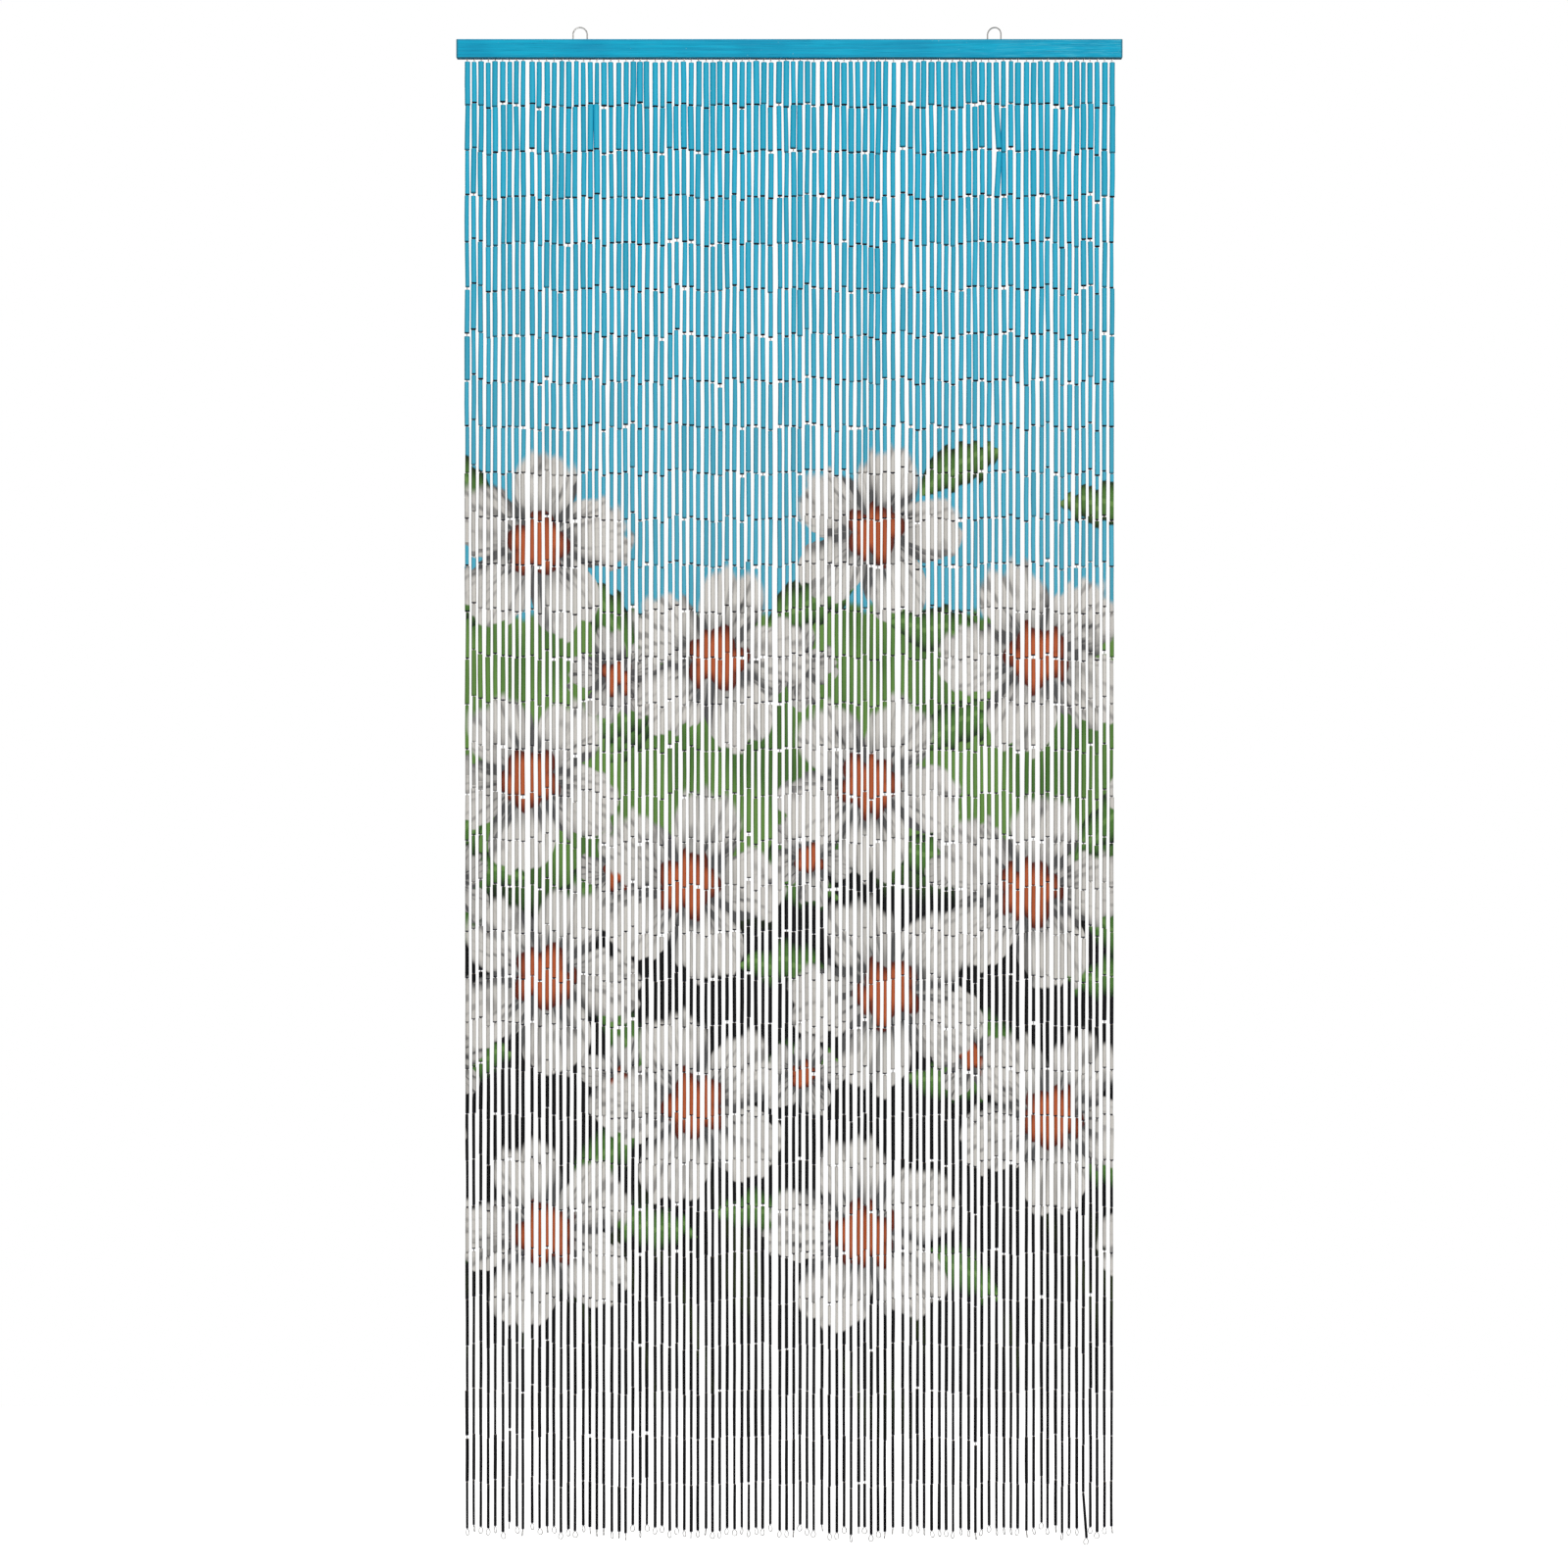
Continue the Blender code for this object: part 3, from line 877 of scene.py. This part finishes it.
def paintRail():
    # brushed blue paint on planed wood, its grain along the rail, with painted shade along its rounded
    # edges and at its ends
    material, tree, shader, place, axes = newPaint("rail_paint_fine")
    sums, ramp, mix, join, noise, draws = nodeMaker(tree)
    x, y, z = axes
    grainPlace = tree.nodes.new("ShaderNodeMapping")
    grainPlace.inputs["Scale"].default_value = (0.022, 1.0, 1.0)
    tree.links.new(place, grainPlace.inputs["Vector"])
    grain = noise(grainPlace.outputs[0], 1150.0, 4.0, 0.62)
    brush = noise(grainPlace.outputs[0], 330.0, 2.0, 0.5)
    broad = noise(place, 9.0, 2.0)
    dent = noise(place, 240.0, 2.0, 0.5)
    colour = mix(ramp(brush, 0.30, 0.72), toLinear(0, 162, 202), toLinear(0, 184, 222))
    colour = mix(ramp(grain, 0.53, 0.68, 0.0, 0.6), colour, toLinear(6, 132, 164))
    streaks = sums("MULTIPLY", ramp(grain, 0.47, 0.38), ramp(x, 0.16, 0.44, 0.10, 1.0))
    colour = mix(sums("MULTIPLY", streaks, 0.60), colour, toLinear(96, 200, 222))
    colour = mix(ramp(dent, 0.74, 0.80, 0.0, 0.6), colour, toLinear(150, 206, 214))
    colour = mix(ramp(broad, 0.45, 0.70, 0.0, 0.25), colour, toLinear(0, 120, 168))
    # painted shade: grey-blue along the top and lower edges, broken up by the brush marks, and at both ends
    # of the rail
    topEdgeShade = ramp(z, railTop - 0.0016, railTop - 0.0006)
    underEdgeShade = ramp(z, railUnder + 0.0012, railUnder + 0.0004)
    endShade = ramp(sums("ABSOLUTE", x), railHigh.x - 0.0034, railHigh.x - 0.0012)
    edge = sums("MULTIPLY", sums("MAXIMUM", topEdgeShade, underEdgeShade), ramp(brush, 0.35, 0.60))
    edge = sums("MAXIMUM", edge, endShade)
    colour = mix(sums("MULTIPLY", edge, 0.62), colour, toLinear(66, 92, 98))
    tree.links.new(colour, shader.inputs["Base Color"])
    tree.links.new(ramp(grain, 0.3, 0.8, 0.45, 0.66, False), shader.inputs["Roughness"])
    shader.inputs["Specular IOR Level"].default_value = 0.12
    addBump(tree, shader, grain, 0.45, 0.0002)
    return material


def paintSteel():
    material, tree, shader, place, axes = newPaint("steel_wire_fine")
    sums, ramp, mix, join, noise, draws = nodeMaker(tree)
    stain = noise(place, 420.0, 3.0, 0.6)
    scratch = noise(place, 2400.0, 2.0, 0.6)
    colour = mix(ramp(stain, 0.50, 0.72), toLinear(232, 230, 226), toLinear(128, 120, 112))
    tree.links.new(colour, shader.inputs["Base Color"])
    tree.links.new(ramp(stain, 0.3, 0.75, 0.36, 0.60, False), shader.inputs["Roughness"])
    shader.inputs["Metallic"].default_value = 1.0
    addBump(tree, shader, scratch, 0.25, 0.00005)
    return material


def dressNode(name, material):
    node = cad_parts[name]
    node.data.materials.clear()
    node.data.materials.append(material)


# Camera square on to the curtain, half way up it
camera = {
    "frameWidth": 1600,
    "metresAPixel": 0.0013255,
    "distance": 4.4,
    "railTopRow": 41.0,
    "middleColumn": 805.5,
    "sensor": 36.0,
}


def placeCamera():
    across = camera["frameWidth"] * camera["metresAPixel"]
    lens = camera["sensor"] * camera["distance"] / across
    data = bpy.data.cameras.new("camera")
    data.sensor_width = camera["sensor"]
    data.lens = lens
    eye = bpy.data.objects.new("camera", data)
    bpy.context.scene.collection.objects.link(eye)
    half = camera["frameWidth"] / 2
    x = -(camera["middleColumn"] - half) * camera["metresAPixel"]
    z = railTop - (half - camera["railTopRow"]) * camera["metresAPixel"]
    eye.location = (x, -camera["distance"], z)
    eye.rotation_euler = (math.radians(90.0), 0.0, 0.0)
    bpy.context.scene.camera = eye
    print("camera: lens", round(lens, 1))


# Pale floor a little below the lowest end eye, and soft light from the front
studio = {
    "floorDrop": 0.045,
    "floorSize": (3.4, 2.4),
    "floorGlow": 0.80,
    "boxSize": 4.0,
    "frontPlace": (1.0, -6.5, 0.8),
    "frontPower": 300.0,
    "backPlace": (-1.4, 6.0, 1.4),
    "backPower": 120.0,
    "worldLight": 0.26,
}


def makeFloor():
    shape = bmesh.new()
    bmesh.ops.create_grid(shape, x_segments=4, y_segments=4, size=0.5)
    bmesh.ops.scale(shape, verts=shape.verts, vec=(*studio["floorSize"], 1.0))
    bmesh.ops.translate(shape, verts=shape.verts, vec=(0.0, 0.0, cadBox[0].z - studio["floorDrop"]))
    mesh = bpy.data.meshes.new("floor")
    shape.to_mesh(mesh)
    shape.free()
    material = bpy.data.materials.new("floor_white")
    material.use_nodes = True
    shader = material.node_tree.nodes["Principled BSDF"]
    shader.inputs["Base Color"].default_value = (0.90, 0.90, 0.90, 1.0)
    shader.inputs["Roughness"].default_value = 0.9
    shader.inputs["Emission Color"].default_value = (1.0, 1.0, 1.0, 1.0)
    shader.inputs["Emission Strength"].default_value = studio["floorGlow"]
    mesh.materials.append(material)
    floor = newObject("floor", mesh)
    floor.visible_diffuse = False    # it doesn't light the strings from below
    floor.visible_glossy = False


def addSoftbox(name, place, aim, size, power):
    data = bpy.data.lights.new(name, "AREA")
    data.shape = "SQUARE"
    data.size = size
    data.energy = power
    lamp = bpy.data.objects.new(name, data)
    lamp.visible_camera = False
    lamp.location = place
    lamp.rotation_euler = (Vector(aim) - Vector(place)).to_track_quat("-Z", "Y").to_euler()
    bpy.context.scene.collection.objects.link(lamp)


def lightStudio():
    middle = (0.0, 0.0, -1.0)
    addSoftbox("front_softbox", studio["frontPlace"], middle, studio["boxSize"], studio["frontPower"])
    addSoftbox("back_softbox", studio["backPlace"], middle, studio["boxSize"], studio["backPower"])
    world = bpy.data.worlds.new("studio")
    world.use_nodes = True
    tree = world.node_tree
    tree.nodes.clear()
    rays = tree.nodes.new("ShaderNodeLightPath")
    seen = tree.nodes.new("ShaderNodeBackground")
    seen.inputs["Strength"].default_value = 1.0
    seen.inputs["Color"].default_value = (1.0, 1.0, 1.0, 1.0)
    lit = tree.nodes.new("ShaderNodeBackground")
    lit.inputs["Strength"].default_value = studio["worldLight"]
    lit.inputs["Color"].default_value = (1.0, 1.0, 1.0, 1.0)
    mixer = tree.nodes.new("ShaderNodeMixShader")
    out = tree.nodes.new("ShaderNodeOutputWorld")
    tree.links.new(rays.outputs["Is Camera Ray"], mixer.inputs[0])
    tree.links.new(lit.outputs[0], mixer.inputs[1])
    tree.links.new(seen.outputs[0], mixer.inputs[2])
    tree.links.new(mixer.outputs[0], out.inputs[0])
    bpy.context.scene.world = world
    bpy.context.scene.view_settings.view_transform = "Standard"
    print("studio ready")


placeCamera()
steelWire = paintSteel()
railPaint = paintRail()
dressNode("rail", railPaint)
dressNode("eye_left", steelWire)
dressNode("eye_right", steelWire)
print("rail and eyes dressed")
stringRows = stringTable()
makeStrings(stringRows, paintTubes(), paintCutBamboo(), steelWire)
makeEndEyes(stringRows, steelWire)
makeStaples(stringRows, steelWire)
makeStrip(railPaint)
makeFloor()
lightStudio()
